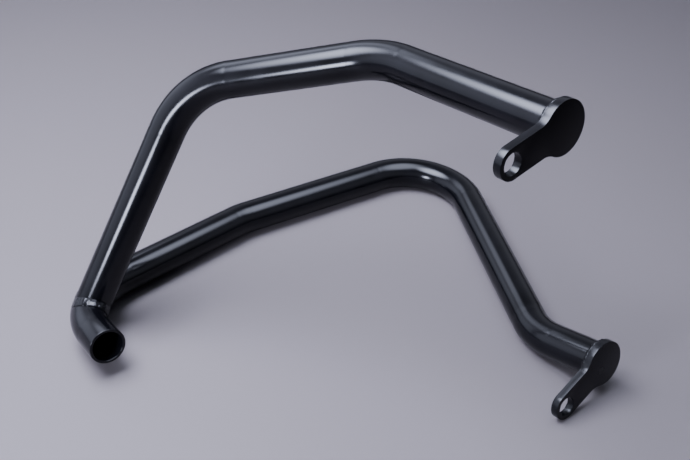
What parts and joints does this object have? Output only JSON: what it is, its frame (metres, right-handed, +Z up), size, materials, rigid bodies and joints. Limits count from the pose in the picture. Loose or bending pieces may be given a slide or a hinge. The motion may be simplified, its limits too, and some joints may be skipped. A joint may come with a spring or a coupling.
{
  "type": "motorcycle crash bar",
  "caption": "Motorcycle crash bar for one side: two bent steel tubes welded into an open loop, with a bolt plate on the end of each.",
  "frame": {"origin": "middle of the part's footprint, on the ground that the lower bar lies on", "axes": "+Z up with the part lying on its lower bar, +X along its longest side from the joint of the two bars towards the bolt plates, +Y from the bolt plates towards the far corner of the lower bar"},
  "size_m": [0.3764, 0.3215, 0.2399],
  "materials": {
    "coated_steel": "semi-gloss black powder coat"
  },
  "bodies": {
    "root": {"lower_bar": "coated_steel", "upper_bar": "coated_steel", "upper_plate": "coated_steel", "lower_plate": "coated_steel", "bar_weld": "coated_steel", "upper_plate_weld": "coated_steel", "lower_plate_weld": "coated_steel"}
  },
  "joints": []
}
